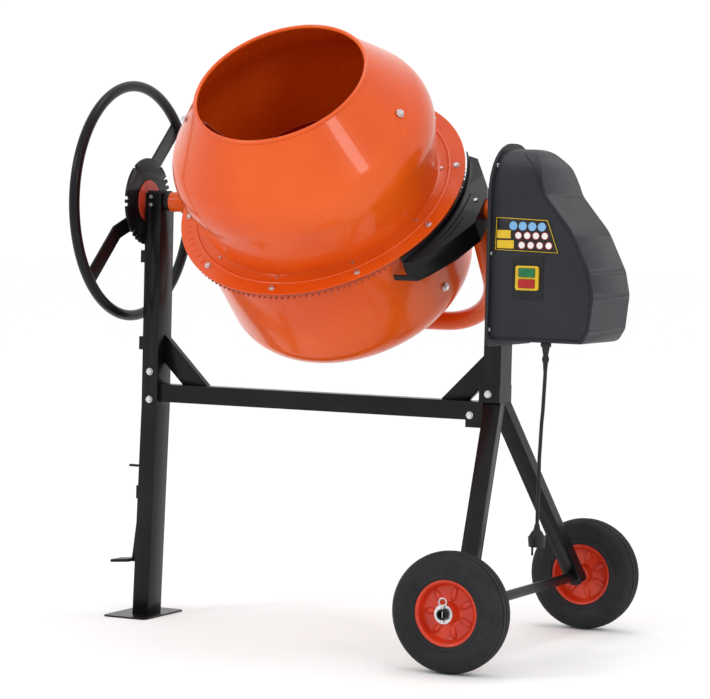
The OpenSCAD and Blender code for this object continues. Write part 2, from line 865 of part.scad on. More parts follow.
module rotor_shaft() {
    color(zinc) at_motor() {
        bar_x(pulley_x, motor_x + motor_l + 17, rotor_r);
        bar_x(motor_x + (motor_l - core_l) / 2, motor_x + (motor_l + core_l) / 2, core_r);
    }
}

module motor_pulley() {
    color(zinc) at_motor() translate([pulley_x, 0, 0])
        pulley(motor_pulley_r, pulley_w, rotor_r + running, 2);
}

module cooling_fan() {
    fan_x = motor_x + motor_l + 3;
    fan_r = 46;
    color(charcoal) at_motor() difference() {
        union() {
            bar_x(fan_x, fan_x + 12, rotor_r + 7);
            bar_x(fan_x, fan_x + 2, fan_r - 6);
            for (k = [0:6]) rotate([k * 360 / 7, 0, 0])
                translate([fan_x, rotor_r + 2, -1]) cube([11, fan_r - rotor_r - 2, 2]);
        }
        bar_x(fan_x - 1, fan_x + 13, rotor_r + running);
    }
}

// --- housing ---

module flange_outline(shrink) {
    half = flange_half - shrink;
    low = axis_z - flange_low + shrink;
    high = axis_z + flange_top - shrink;
    polygon(rounded([[-half, low], [half, low], [half, high], [-half, high]],
        [15, 15, flange_round - shrink, flange_round - shrink]));
}

module stand_up(x, t) {
    translate([x, 0, 0]) rotate([90, 0, 90]) linear_extrude(t) children();
}

module screw_holes(x) {
    for (side = [-1, 1], p = screw_places)
        translate([0, side * p.x, p.y]) bar_x(x - 1, x + flange_t + plate_t, small_bolt_r + 0.15);
}

module housing_backplate() {
    color([0.16, 0.17, 0.18]) machine() difference() {
        stand_up(right_face, plate_t) flange_outline(2);
        translate([0, 0, axis_z]) bar_x(right_face - 1, flange_x + 1, trunnion_r + easy);
        screw_holes(right_face);
    }
}

// Side outline of the cover's body, anticlockwise seen from the front
function cover_side() = [[flange_x, cover_low], [cover_end_x - 24, cover_low],
    [cover_end_x - 8, cover_low + 28], [cover_end_x, axis_z - 175], [cover_end_x - 10, axis_z - 125],
    [cover_end_x - 50, axis_z - 42], [cover_end_x - 112, axis_z + 33],
    [cover_end_x - 132, axis_z + 93], [flange_x + 70, cover_top], [flange_x, cover_top]];
cover_rounds = [0, 18, 20, 60, 60, 120, 60, 40, 30, 0];

module cover_body(shrink) {
    side = rounded(inset(cover_side(), shrink), [for (r = cover_rounds) max(0, r - shrink)]);
    half = body_half - shrink;
    intersection() {
        translate([0, half, 0]) rotate([90, 0, 0]) linear_extrude(2 * half) polygon(side);
        stand_up(flange_x - 1, cover_end_x - flange_x + 2) polygon(rounded(
            [[-half, cover_low + shrink], [half, cover_low + shrink], [half, cover_top - shrink],
            [-half, cover_top - shrink]], [12, 12, flange_round - cover_inset, flange_round - cover_inset]));
    }
}

module motor_cover() {
    color(charcoal) machine() difference() {
        union() {
            cover_body(0);
            stand_up(flange_x, flange_t) flange_outline(0);
        }
        cover_body(cover_wall);
        stand_up(flange_x - 1, cover_wall + 2) flange_outline(cover_inset + cover_wall);
        screw_holes(flange_x - 1);
        translate([gland_x, gland_y, cover_low - 1]) cylinder(h = cover_wall + 2, r = cord_d / 2 + 2);
    }
}

module cover_screws() {
    color(zinc) machine() for (side = [-1, 1], p = screw_places) translate([0, side * p.x, p.y]) {
        bar_x(right_face + 0.5, flange_x + flange_t, small_bolt_r);
        bar_x(flange_x + flange_t, flange_x + flange_t + 3.5, 5);
    }
}

module switch_plate() {
    plate = switch_s + 18;
    color(black) machine() translate([switch_x, switch_y, switch_z]) rotate([90, 0, 0])
        linear_extrude(2) rounded_plate(plate, plate + 20, 4);
}

module switch_frame() {
    color([0.95, 0.78, 0.10]) machine() translate([switch_x, switch_y - 2, switch_z])
        rotate([90, 0, 0]) linear_extrude(button_h - 1) difference() {
            rounded_plate(switch_s, switch_s, 5);
            for (z = [-1, 1]) translate([0, z * button_z]) square(button, center = true);
        }
}

module switch_button(z) {
    sides = button - 2 * [button_gap, button_gap];
    machine() translate([switch_x, switch_y - 2 - button_travel - loose, switch_z + z])
        rotate([90, 0, 0]) linear_extrude(button_h) rounded_plate(sides.x, sides.y, 2);
}

module start_button() {
    color([0.10, 0.55, 0.25]) switch_button(button_z);
}

module stop_button() {
    color([0.80, 0.12, 0.10]) switch_button(-button_z);
}

module label_plate() {
    color([0.10, 0.10, 0.10]) machine() translate([0, switch_y, axis_z]) rotate([90, 0, 0])
        linear_extrude(label_t) polygon([[flange_x + 8, -86], [flange_x + 156, -90],
            [flange_x + 129, -18], [flange_x + 10, -14]]);
}

// --- lock ---

module rod_guides() {
    color(black) machine() difference() {
        for (g = guide_places) translate([-rod_x - rod_r - 4, -guide_w / 2, g[0]])
            cube([rod_x + rod_r + 4 + left_face + 8, guide_w, g[1]]);
        translate([-left_post_x, 0, leg_joint_z])
            translate([-post_w / 2, -post_d / 2, 0]) cube([post_w, post_d, axis_z]);
        lower_leg_block(post_w, post_d);
        translate([-rod_x, 0, 0]) cylinder(h = axis_z, r = rod_r + loose);
    }
}

module lock_rod() {
    strap_top = rod_low + 16;
    inner = rod_x - strap_t / 2;
    color(black) machine() {
        translate([-rod_x, 0, rod_low]) cylinder(h = rod_top - rod_low, r = rod_r);
        translate([0, 0, spring_pin_z]) bar_x(-rod_x - 33, -rod_x + rod_r + 1, spring_pin_r);
        translate([0, strap_w / 2, 0]) rotate([90, 0, 0]) linear_extrude(strap_w) polygon([
            [-inner, rod_low], [-inner, strap_top], [-inner - strap_t, strap_top],
            [-inner - strap_t, rod_low], [-inner - strap_t - strap_out, pedal_z + pedal_t],
            [-inner - strap_t - strap_out, pedal_z], [-inner - strap_out, pedal_z]]);
    }
}

module foot_pedal() {
    start = rod_x + strap_t / 2 + strap_out;
    reach = pedal_tip_x - start;
    drop = 4;
    color(black) machine() translate([0, pedal_w / 2, 0]) rotate([90, 0, 0]) linear_extrude(pedal_w)
        polygon([[-start, pedal_z], [-start, pedal_z + pedal_t], [-pedal_tip_x, pedal_z + pedal_t - drop],
            [-pedal_tip_x, pedal_z - drop]]);
}

// Coil swept round the rod between its guide and the cross pin
module lock_spring() {
    wire = 0.9;
    coil = rod_r + wire + loose;
    sides = 6;
    rings = 16 * spring_turns;
    low = spring_low + wire + loose;
    rise = spring_pin_z - spring_pin_r - wire - loose - low;
    points = [for (i = [0:rings], j = [0:sides - 1])
        let (a = 360 * spring_turns * i / rings, b = 360 * j / sides, out = coil + wire * cos(b))
        [out * cos(a), out * sin(a), low + rise * i / rings + wire * sin(b)]];
    color(zinc) machine() translate([-rod_x, 0, 0])
        polyhedron(points, tube_faces(rings + 1, sides));
}

// --- cord ---

module cable_gland() {
    color([0.10, 0.10, 0.11]) machine() translate([gland_x, gland_y, cover_low]) difference() {
        union() {
            translate([0, 0, -9]) cylinder(h = 9, r = 12, $fn = 6);
            translate([0, 0, -gland_l]) cylinder(h = gland_l - 9, r1 = cord_d / 2 + 1.5, r2 = 8.5);
            cylinder(h = cover_wall + 4, r = cord_d / 2 + 1.9);
        }
        translate([0, 0, -gland_l - 1]) cylinder(h = gland_l + cover_wall + 6, r = cord_d / 2);
    }
}

module power_cord() {
    sides = 10;
    n = len(cord_route);
    points = [for (p = cord_route, j = [0:sides - 1])
        p + cord_d / 2 * [cos(360 * j / sides), -sin(360 * j / sides), 0]];
    color([0.07, 0.07, 0.08]) machine() polyhedron(points, tube_faces(n, sides));
}

module plug() {
    top = cord_route[len(cord_route) - 1];
    color([0.07, 0.07, 0.08]) machine() translate(top) {
        translate([0, 0, -14]) cylinder(h = 14, r1 = 8, r2 = cord_d / 2 + 1);
        translate([0, 0, -27]) cylinder(h = 13, r1 = 18, r2 = 10);
        translate([0, 0, -plug_l]) cylinder(h = plug_l - 27, r1 = 17, r2 = 19);
        for (side = [-1, 1]) translate([side * plug_pin_gap / 2, 0, -plug_l - plug_pin_l])
            cylinder(h = plug_pin_l, r = plug_pin_r);
    }
}

// --- drum ---

function bowl_line(shrink) =
    let (side = [bowl_low_r - shrink, -bowl_depth + shrink])
    concat([[spindle_r + running, -bowl_depth + shrink]],
        corner_arc([0, -bowl_depth + shrink], side, [bowl_r - shrink, 20], bowl_round - shrink, 12),
        [[bowl_r - shrink, 20]]);

function reversed(points) = [for (i = [len(points) - 1:-1:0]) points[i]];

module ring_holes() {
    for (k = [0:ring_bolts_n - 1]) rotate([0, 0, ring_bolt_a + 360 * k / ring_bolts_n]) {
        translate([ring_bolt_r, 0, 0]) cylinder(h = 2 * ring_top, r = bolt_hole);
        translate([rivet_r, 0, 0]) cylinder(h = 2 * ring_top, r = small_bolt_r + 0.15);
    }
}

// Places of the blade bolts: radius, height, angle and the wall's lean
function on_bowl(h, a) = [bowl_r - (20 - h) * tan(bowl_lean), h, a, bowl_lean];
function on_shell(h, a) = [mouth_r + (mouth_h - h) * tan(shell_lean), h, a, -shell_lean];

module at_blade_bolts() {
    for (b = blades, p = b) rotate([0, 0, p[2]]) translate([p[0], 0, p[1]]) rotate([0, p[3], 0]) children();
}

module blade_holes() {
    at_blade_bolts() bar_x(-30, 50, bolt_hole);
}

module lower_bowl() {
    flange = [[bowl_r, crown_top], [crown_out, crown_top], [crown_out, bowl_flange_top],
        [bowl_r - sheet_t, bowl_flange_top]];
    color(orange) tilted() difference() {
        rotate_extrude() polygon(concat(bowl_line(0), flange, reversed(bowl_line(sheet_t))));
        ring_holes();
        blade_holes();
    }
}

function shell_line(shrink) =
    let (base = [shell_base_r - shrink, ring_top], belly = [shell_belly_r - shrink, shell_belly_h],
         mouth = [mouth_seam - shrink, mouth_h])
    concat([base], corner_arc(base, belly, mouth, shell_round, 12), [mouth]);

module upper_shell() {
    flange = [[shell_base_r - sheet_t, bowl_flange_top], [ring_r, bowl_flange_top], [ring_r, ring_top],
        [bead_r + 3, ring_top], [bead_r + 2, ring_top + 2], [bead_r - 2, ring_top + 2],
        [bead_r - 3, ring_top]];
    color(orange) tilted() difference() {
        union() {
            rotate_extrude() polygon(concat(flange, shell_line(0), reversed(shell_line(sheet_t))));
            translate([0, 0, mouth_h]) wire_ring(mouth_r - lip_r, lip_r);
        }
        ring_holes();
        blade_holes();
    }
}

// Tooth ring seen along the drum: bars that stand out from a thin web
function crown_outline() =
    [for (k = [0:crown_teeth - 1], e = [[crown_web, -1], [crown_pitch_r + tooth_l / 2, -1],
        [crown_pitch_r + tooth_l / 2, 1], [crown_web, 1]])
        let (turn = asin(tooth_w / 2 / e[0]) * e[1] + pitch_angle * (k + 0.5))
        e[0] * [cos(turn), sin(turn)]];

module crown_gear() {
    color(orange) tilted() difference() {
        union() {
            translate([0, 0, crown_low]) cylinder(h = crown_plate_t, r = crown_out);
            translate([0, 0, tooth_tip_h]) linear_extrude(crown_low - tooth_tip_h + eps)
                polygon(crown_outline());
        }
        cylinder(h = 2 * crown_top, r = crown_bore);
        ring_holes();
    }
}

module drum_spindle() {
    color(zinc) tilted() {
        translate([0, 0, -bowl_depth + sheet_t]) cylinder(h = 6, r = 60);
        translate([0, 0, -yoke_depth + yoke_tube_r + 2])
            cylinder(h = yoke_depth - yoke_tube_r - 2 - bowl_depth + sheet_t, r = spindle_r);
        translate([0, 0, -bearing_top + loose]) cylinder(h = bearing_top - bowl_depth - loose, r = spindle_r + 9);
    }
}

// One blade, a plate through its lower and its upper bolt
module blade_plate(low, high) {
    half = (high[2] - low[2]) / 2;
    lean = atan((low[0] + high[0]) * sin(half) / (high[1] - low[1]));
    shift = -low[0] * sin(half) - low[1] * tan(lean);
    x0 = low[0] * cos(half) - 10;
    x1 = high[0] * cos(half) - 2;
    outline = [[x0, low[1] - 26], [x0, low[1] + 26], [x0 - 30, low[1] + 130], [x1 - 42, high[1] - 130],
        [x1, high[1] - 30], [x1 - 18, high[1] + 2], [x1 - 44, high[1] - 16], [x1 - 90, high[1] - 150],
        [x0 - 90, low[1] + 130], [x0 - 44, low[1] - 26]];
    rotate([0, 0, low[2] + half]) translate([0, shift, 0]) rotate([90 - lean, 0, 0])
        translate([0, 0, -blade_t / 2]) linear_extrude(blade_t)
            polygon([for (p = outline) [p.x, p.y / cos(lean)]]);
}

module mixing_blades() {
    color([0.62, 0.22, 0.10]) tilted() difference() {
        union() {
            for (b = blades) blade_plate(b[0], b[1]);
            at_blade_bolts() bar_x(-16, 16, 15);
        }
        outside_drum();
        blade_holes();
    }
}

// Everything outside the drum's inner faces
module outside_drum() {
    shrink = sheet_t + loose;
    difference() {
        translate([0, 0, -yoke_depth]) cylinder(h = yoke_depth + mouth_h + 10, r = 2 * bowl_r);
        rotate_extrude() polygon(concat([[0, -bowl_depth + shrink]], bowl_line(shrink),
            [[bowl_r - shrink, bowl_flange_top - loose], [shell_base_r - shrink, bowl_flange_top - loose]],
            shell_line(shrink), [[0, mouth_h]]));
    }
}

module ring_bolts() {
    color(zinc) tilted() for (k = [0:ring_bolts_n - 1])
        rotate([0, 0, ring_bolt_a + 360 * k / ring_bolts_n]) {
            translate([ring_bolt_r, 0, ring_top]) cylinder(h = head_h - 1, r = 6.2, $fn = 6);
            translate([ring_bolt_r, 0, crown_low + 1]) cylinder(h = ring_top - crown_low - 1, r = bolt_r);
            translate([rivet_r, 0, ring_top]) cylinder(h = 2.5, r = 3.5);
            translate([rivet_r, 0, bowl_flange_top - 3]) cylinder(h = ring_top - bowl_flange_top + 3,
                r = small_bolt_r);
        }
}

module blade_bolts() {
    washer_r = 9;
    color(zinc) tilted() at_blade_bolts() {
        bar_x(-20, 3, bolt_r);
        bar_x(loose, 3, washer_r);
        translate([3, 0, 0]) rotate([0, 90, 0]) cylinder(h = head_h, r = 6.6, $fn = 6);
    }
}

foot_plate();
left_leg();
left_post();
cross_beam();
left_brace();
right_brace();
right_post();
junction_bracket();
front_leg();
rear_leg();
wheel_axle();
left_bearing();
right_bearing();
rod_guides();
frame_bolts();
housing_backplate();
motor_cover();
cover_screws();
switch_plate();
switch_frame();
label_plate();
motor_body();
motor_mount();
drive_belt();
cable_gland();
power_cord();
plug();
axle_washers();
axle_clips();
lock_spring();
lock_rod();
foot_pedal();
start_button();
stop_button();
yoke_tube();
left_trunnion();
right_trunnion();
handwheel_rim();
handwheel_spoke();
notched_disc();
hub_disc();
gear_guard();
drum_bearing();
drive_shaft();
pinion();
large_pulley();
rotor_shaft();
motor_pulley();
cooling_fan();
lower_bowl();
upper_shell();
crown_gear();
drum_spindle();
mixing_blades();
ring_bolts();
blade_bolts();
front_tyre();
front_rim();
rear_tyre();
rear_rim();
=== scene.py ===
# Concrete mixer: tilting drum on a wheeled stand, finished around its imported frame
import json
from math import acos, atan2, cos, pi, radians, sin, tan

import bpy
from mathutils import Matrix, Vector

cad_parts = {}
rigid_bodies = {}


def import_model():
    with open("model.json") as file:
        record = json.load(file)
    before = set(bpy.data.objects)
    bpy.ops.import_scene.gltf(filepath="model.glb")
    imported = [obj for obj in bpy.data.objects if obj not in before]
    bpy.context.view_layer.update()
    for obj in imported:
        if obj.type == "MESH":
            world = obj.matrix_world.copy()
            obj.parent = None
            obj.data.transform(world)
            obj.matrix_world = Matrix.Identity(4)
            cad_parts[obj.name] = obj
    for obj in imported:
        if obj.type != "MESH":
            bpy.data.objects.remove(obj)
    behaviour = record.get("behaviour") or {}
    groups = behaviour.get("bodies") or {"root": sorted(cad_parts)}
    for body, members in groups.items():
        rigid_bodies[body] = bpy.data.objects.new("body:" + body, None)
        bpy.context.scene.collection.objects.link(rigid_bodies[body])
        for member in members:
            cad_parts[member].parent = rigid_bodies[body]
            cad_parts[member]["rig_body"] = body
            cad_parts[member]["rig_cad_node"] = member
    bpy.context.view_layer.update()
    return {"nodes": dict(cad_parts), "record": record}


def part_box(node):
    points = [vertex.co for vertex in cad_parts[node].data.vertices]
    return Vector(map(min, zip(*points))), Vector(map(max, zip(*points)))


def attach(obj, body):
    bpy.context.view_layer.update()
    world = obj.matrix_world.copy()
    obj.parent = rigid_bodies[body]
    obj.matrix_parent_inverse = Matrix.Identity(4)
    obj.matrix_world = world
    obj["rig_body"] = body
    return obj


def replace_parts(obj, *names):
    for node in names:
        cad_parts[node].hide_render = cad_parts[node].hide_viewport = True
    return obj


mm = 0.001
mergeGap = 0.01 * mm
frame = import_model()
bpy.ops.object.select_all(action="DESELECT")
print("frame loaded")

camera = {
    "azimuth": 25.73,
    "elevation": 2.85,
    "roll": 1.36,
    "distance": 6.25,
    "lookAt": (0, 0, 0.6263),
    "lens": 144.5,
    "sensor": 36,
    "farthest": 60,
}


def addCamera():
    data = bpy.data.cameras.new("camera")
    data.lens = camera["lens"]
    data.sensor_width = camera["sensor"]
    data.clip_end = camera["farthest"]
    piece = bpy.data.objects.new("camera", data)
    bpy.context.collection.objects.link(piece)
    turn = Matrix.Rotation(radians(camera["azimuth"]), 4, "Z")
    turn @= Matrix.Rotation(radians(90 - camera["elevation"]), 4, "X")
    turn @= Matrix.Rotation(radians(camera["roll"]), 4, "Z")
    place = Vector(camera["lookAt"]) + turn.to_3x3() @ Vector((0, 0, camera["distance"]))
    piece.matrix_world = Matrix.Translation(place) @ turn
    bpy.context.scene.camera = piece


addCamera()


cordPlan = {
    "diameter": 8,
    "roundness": 5,
    # millimetres from the drum's middle, down from the gland
    "route": [(558, -80, 630), (558, -80, 615), (558, -80, 595), (557, -80, 570), (556, -80, 545),
              (555, -80, 520), (553, -80, 495), (552, -80, 470), (551, -80, 445), (550, -80, 420),
              (550, -80, 395), (550, -80, 370), (550, -80, 345), (549, -80, 320), (549, -80, 300),
              (549, -80, 282)],
}
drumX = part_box("crown_gear")[0].x / 2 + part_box("crown_gear")[1].x / 2


def addCord():
    data = bpy.data.curves.new("power_lead", "CURVE")
    data.dimensions = "3D"
    data.bevel_depth = cordPlan["diameter"] / 2 * mm
    data.bevel_resolution = cordPlan["roundness"]
    data.use_fill_caps = True
    line = data.splines.new("POLY")
    line.points.add(len(cordPlan["route"]) - 1)
    for point, (x, y, z) in zip(line.points, cordPlan["route"]):
        point.co = (x * mm + drumX, y * mm, z * mm, 1)
    piece = bpy.data.objects.new("power_lead", data)
    bpy.context.collection.objects.link(piece)
    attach(piece, "stand")
    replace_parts(piece, "power_cord")
    return piece


lead = addCord()
print("camera and lead set")


class Value:
    # One output socket, so that masks read as sums

    def __init__(self, material, socket):
        self.material = material
        self.socket = socket

    def math(self, operation, other):
        return self.material.node("ShaderNodeMath", {"operation": operation}, {0: self, 1: other})

    def __add__(self, other):
        return self.math("ADD", other)

    __radd__ = __add__

    def __mul__(self, other):
        return self.math("MULTIPLY", other)

    __rmul__ = __mul__


class Finish:
    # A material whose nodes are written as expressions

    def __init__(self, name, **fixed):
        self.data = bpy.data.materials.new(name)
        self.data.use_nodes = True
        self.tree = self.data.node_tree
        self.shader = self.tree.nodes["Principled BSDF"]
        for socket, value in fixed.items():
            self.shader.inputs[socket.replace("_", " ")].default_value = value

    def node(self, kind, settings=None, inputs=None, output=0):
        made = self.tree.nodes.new(kind)
        for key, value in (settings or {}).items():
            setattr(made, key, value)
        for key, value in (inputs or {}).items():
            if isinstance(value, Value):
                self.tree.links.new(value.socket, made.inputs[key])
            else:
                made.inputs[key].default_value = value
        return Value(self, made.outputs[output])

    def place(self):
        return self.node("ShaderNodeTexCoord", output="Object")

    def noise(self, scale, detail=3, stretch=None):
        vector = self.place()
        if stretch:
            vector = self.node("ShaderNodeMapping", {}, {"Vector": vector, "Scale": stretch})
        return self.node("ShaderNodeTexNoise", {}, {"Vector": vector, "Scale": scale, "Detail": detail})

    def step(self, value, start, end):
        inputs = {"Value": value, "From Min": start, "From Max": end}
        return self.node("ShaderNodeMapRange", {"interpolation_type": "SMOOTHSTEP"}, inputs)

    def mix(self, mask, first, second):
        settings = {"data_type": "RGBA"}
        return self.node("ShaderNodeMix", settings, {0: mask, 6: first, 7: second}, output=2)

    def normal(self, height, strength, distance):
        inputs = {"Height": height, "Strength": strength, "Distance": distance}
        bump = self.node("ShaderNodeBump", {}, inputs)
        self.tree.links.new(bump.socket, self.shader.inputs["Normal"])
        return self

    def feed(self, **values):
        for socket, value in values.items():
            self.tree.links.new(value.socket, self.shader.inputs[socket.replace("_", " ")])


def rgb(red, green, blue):
    return (red, green, blue, 1)


def only(piece):
    bpy.ops.object.select_all(action="DESELECT")
    piece.select_set(True)
    bpy.context.view_layer.objects.active = piece


def smooth(piece, angle):
    only(piece)
    bpy.ops.object.shade_smooth_by_angle(angle=radians(angle))


edgeWork = {
    "merge": 0.02,      # millimetres
    "flat": 0.6,        # degrees under which faces are one
    "sharp": 35,        # degrees over which an edge is rounded
    "shade": 28,        # degrees under which shading runs on
    "segments": 2,
}


# A copy of a CAD node with its doubles merged and its edges rounded
def softened(node, edge):
    source = frame["nodes"][node]
    piece = source.copy()
    piece.data = source.data.copy()
    piece.parent = None
    piece.name = node + "_soft"
    for key in list(piece.keys()):
        del piece[key]
    bpy.context.collection.objects.link(piece)
    only(piece)
    piece.hide_set(False)
    bpy.ops.object.mode_set(mode="EDIT")
    bpy.ops.mesh.select_all(action="SELECT")
    bpy.ops.mesh.remove_doubles(threshold=edgeWork["merge"] * mm)
    bpy.ops.mesh.dissolve_limited(angle_limit=radians(edgeWork["flat"]))
    bpy.ops.object.mode_set(mode="OBJECT")
    bevel = piece.modifiers.new("edge", "BEVEL")
    bevel.width = edge * mm
    bevel.segments = edgeWork["segments"]
    bevel.limit_method = "ANGLE"
    bevel.angle_limit = radians(edgeWork["sharp"])
    bevel.use_clamp_overlap = True
    bpy.ops.object.modifier_apply(modifier=bevel.name)
    smooth(piece, edgeWork["shade"])
    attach(piece, source["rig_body"])
    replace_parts(piece, node)
    return piece


studio = {
    "floorRadius": 40,
    "floorSides": 96,
    "floorRoughness": 0.9,
    "floorColour": rgb(0.97, 0.97, 0.97),
    "skyColour": rgb(1, 1, 1),
    "skyStrength": 1.03,
    "lamps": [
        # name, place, aim, size, power
        ("key", (-2.4, -3.8, 3.4), (0, 0, 0.9), 1.2, 34),
        ("side", (3.6, -2.6, 2.4), (0.2, 0, 0.7), 0.9, 16),
        ("top", (0.2, 0.4, 4.4), (0, 0, 0.8), 1.4, 18),
    ],
}


def addStage():
    bpy.context.scene.view_settings.view_transform = "Standard"
    bpy.ops.mesh.primitive_circle_add(vertices=studio["floorSides"], radius=studio["floorRadius"],
                                      fill_type="NGON")
    floor = bpy.context.object
    floor.name = "floor"
    paper = Finish("paper", Roughness=studio["floorRoughness"])
    paper.shader.inputs["Base Color"].default_value = studio["floorColour"]
    floor.data.materials.append(paper.data)
    world = bpy.data.worlds.new("studio")
    bpy.context.scene.world = world
    world.use_nodes = True
    sky = world.node_tree.nodes["Background"]
    sky.inputs["Color"].default_value = studio["skyColour"]
    sky.inputs["Strength"].default_value = studio["skyStrength"]
    for name, place, aim, size, power in studio["lamps"]:
        data = bpy.data.lights.new(name, "AREA")
        data.shape = "DISK"
        data.size = size
        data.energy = power
        lamp = bpy.data.objects.new(name, data)
        bpy.context.collection.objects.link(lamp)
        lamp.location = place
        lamp.rotation_euler = (Vector(aim) - Vector(place)).to_track_quat("-Z", "Y").to_euler()


addStage()
print("studio set")


# Two colours mixed in patches, a roughness, and a grain that lifts the surface. patch, grain and wave are a
# noise's scale and detail, edge is where the patches start and end, rough is the least roughness, spread is
# its range, scale and detail, and lift is the bump's strength and depth
plainPlan = {
    "patch": (60, 3), "edge": (0.3, 0.75), "spread": (0.1, 240, 2),
    "grain": (1100, 2), "lift": (0.15, 0.0003), "shader": {"Specular_IOR_Level": 0.32},
}
finishPlans = {
    # sprayed enamel, a little wavy
    "drum_orange": {
        "name": "drumPaint", "dark": rgb(0.66, 0.072, 0.003), "light": rgb(0.76, 0.102, 0.006),
        "patch": (3.5, 2), "edge": (0.35, 0.7), "rough": 0.22, "spread": (0.1, 26, 3),
        "grain": (900, 1), "wave": (60, 1), "grainShare": 0.4, "lift": (0.12, 0.0006),
        "shader": {"Coat_Weight": 0.38, "Coat_Roughness": 0.05, "Coat_IOR": 1.42, "Specular_IOR_Level": 0.22},
    },
    "gear_orange": {
        "name": "gearPaint", "dark": rgb(0.34, 0.034, 0.005), "light": rgb(0.46, 0.052, 0.008),
        "patch": (40, 3), "edge": (0.4, 0.7), "rough": 0.42, "spread": (0.2, 90, 3),
        "grain": (300, 2), "lift": (0.2, 0.0004),
    },
    # black stove enamel on tube
    "frame_black": {
        "name": "framePaint", "dark": rgb(0.0030, 0.0030, 0.0040), "light": rgb(0.0065, 0.0066, 0.0085),
        "patch": (8, 3), "edge": (0.35, 0.75), "rough": 0.26, "spread": (0.16, 45, 3),
        "grain": (420, 2), "lift": (0.12, 0.0004),
        "shader": {"Coat_Weight": 0.10, "Coat_Roughness": 0.06, "Specular_IOR_Level": 0.16},
    },
    "hub_red": {
        "name": "hubPaint", "dark": rgb(0.42, 0.040, 0.014), "light": rgb(0.55, 0.062, 0.022),
        "patch": (30, 3), "edge": (0.35, 0.7), "rough": 0.38, "spread": (0.15, 80, 3),
        "grain": (500, 2), "lift": (0.15, 0.0004),
    },
    "rim_red": {
        "name": "rimPaint", "dark": rgb(0.52, 0.026, 0.005), "light": rgb(0.64, 0.042, 0.008),
        "patch": (25, 3), "edge": (0.35, 0.7), "rough": 0.3, "spread": (0.12, 80, 3),
        "grain": (500, 2), "lift": (0.15, 0.0004),
        "shader": {"Coat_Weight": 0.25, "Coat_Roughness": 0.1, "Specular_IOR_Level": 0.35},
    },
    "tyre": {
        "name": "tyreRubber", "dark": rgb(0.0085, 0.0088, 0.0105), "light": rgb(0.0160, 0.0165, 0.0185),
        "patch": (14, 3), "edge": (0.35, 0.7), "rough": 0.55, "spread": (0.2, 120, 3),
        "grain": (700, 3), "lift": (0.25, 0.0005), "shader": {"Specular_IOR_Level": 0.28},
    },
    "zinc": {
        "name": "zincPlate", "dark": rgb(0.55, 0.56, 0.58), "light": rgb(0.74, 0.74, 0.73),
        "patch": (180, 2), "edge": (0.35, 0.7), "rough": 0.24, "spread": (0.18, 400, 2),
        "grain": (1500, 2), "lift": (0.15, 0.0002), "shader": {"Metallic": 1},
    },
    # moulded polyethylene with a fine leathery grain
    "housing_plastic": {
        "name": "housingPlastic", "dark": rgb(0.0125, 0.0135, 0.0185), "light": rgb(0.0180, 0.0192, 0.0255),
        "patch": (5, 3), "edge": (0.3, 0.75), "rough": 0.42, "spread": (0.14, 70, 3),
        "grain": (1300, 3), "lift": (0.22, 0.0004), "shader": {"Specular_IOR_Level": 0.28},
    },
}
plainFinishes = {
    # slot: name, dark, light, roughness
    "bearing_nylon": ("bearingNylon", rgb(0.008, 0.008, 0.009), rgb(0.014, 0.014, 0.016), 0.5),
    "backplate_steel": ("backplate", rgb(0.005, 0.005, 0.006), rgb(0.009, 0.009, 0.010), 0.4),
    "motor_aluminium": ("motorPaint", rgb(0.16, 0.17, 0.18), rgb(0.22, 0.23, 0.24), 0.45),
    "switch_black": ("switchBlack", rgb(0.005, 0.005, 0.0055), rgb(0.009, 0.009, 0.010), 0.28),
    "switch_yellow": ("switchYellow", rgb(0.62, 0.40, 0.015), rgb(0.72, 0.48, 0.02), 0.3),
    "button_green": ("buttonGreen", rgb(0.008, 0.13, 0.045), rgb(0.012, 0.18, 0.06), 0.25),
    "button_red": ("buttonRed", rgb(0.32, 0.010, 0.010), rgb(0.42, 0.016, 0.014), 0.25),
    "label_film": ("labelFilm", rgb(0.006, 0.006, 0.006), rgb(0.011, 0.011, 0.011), 0.3),
    "belt_rubber": ("beltRubber", rgb(0.015, 0.015, 0.015), rgb(0.03, 0.03, 0.03), 0.7),
    "cord_rubber": ("cordRubber", rgb(0.006, 0.006, 0.007), rgb(0.011, 0.011, 0.012), 0.45),
    "plug_plastic": ("plugPlastic", rgb(0.006, 0.006, 0.007), rgb(0.012, 0.012, 0.013), 0.42),
    "label_blue": ("labelBlue", rgb(0.16, 0.36, 0.62), rgb(0.22, 0.45, 0.70), 0.3),
    "label_white": ("labelWhite", rgb(0.72, 0.72, 0.72), rgb(0.80, 0.80, 0.80), 0.3),
}
steelPlan = {
    "dark": rgb(0.40, 0.40, 0.41), "light": rgb(0.62, 0.62, 0.63), "streak": (60, 3), "stretch": (1, 14, 14),
    "rough": 0.28, "spread": 0.2, "lift": (0.15, 0.0002),
}


def madeFinish(plan):
    made = Finish(plan["name"], **plan.get("shader", {}))
    patches = made.step(made.noise(*plan["patch"]), *plan["edge"])
    spread, scale, detail = plan["spread"]
    made.feed(Base_Color=made.mix(patches, plan["dark"], plan["light"]),
              Roughness=plan["rough"] + made.noise(scale, detail) * spread)
    height = made.noise(*plan["grain"])
    if "wave" in plan:
        height = height * plan["grainShare"] + made.noise(*plan["wave"])
    return made.normal(height, *plan["lift"]).data


# Drawn steel, streaked across its length
def groundSteel(plan):
    steel = Finish("groundSteel", Metallic=1)
    streak = steel.noise(*plan["streak"], stretch=plan["stretch"])
    steel.feed(Base_Color=steel.mix(streak, plan["dark"], plan["light"]),
               Roughness=plan["rough"] + streak * plan["spread"])
    return steel.normal(streak, *plan["lift"]).data


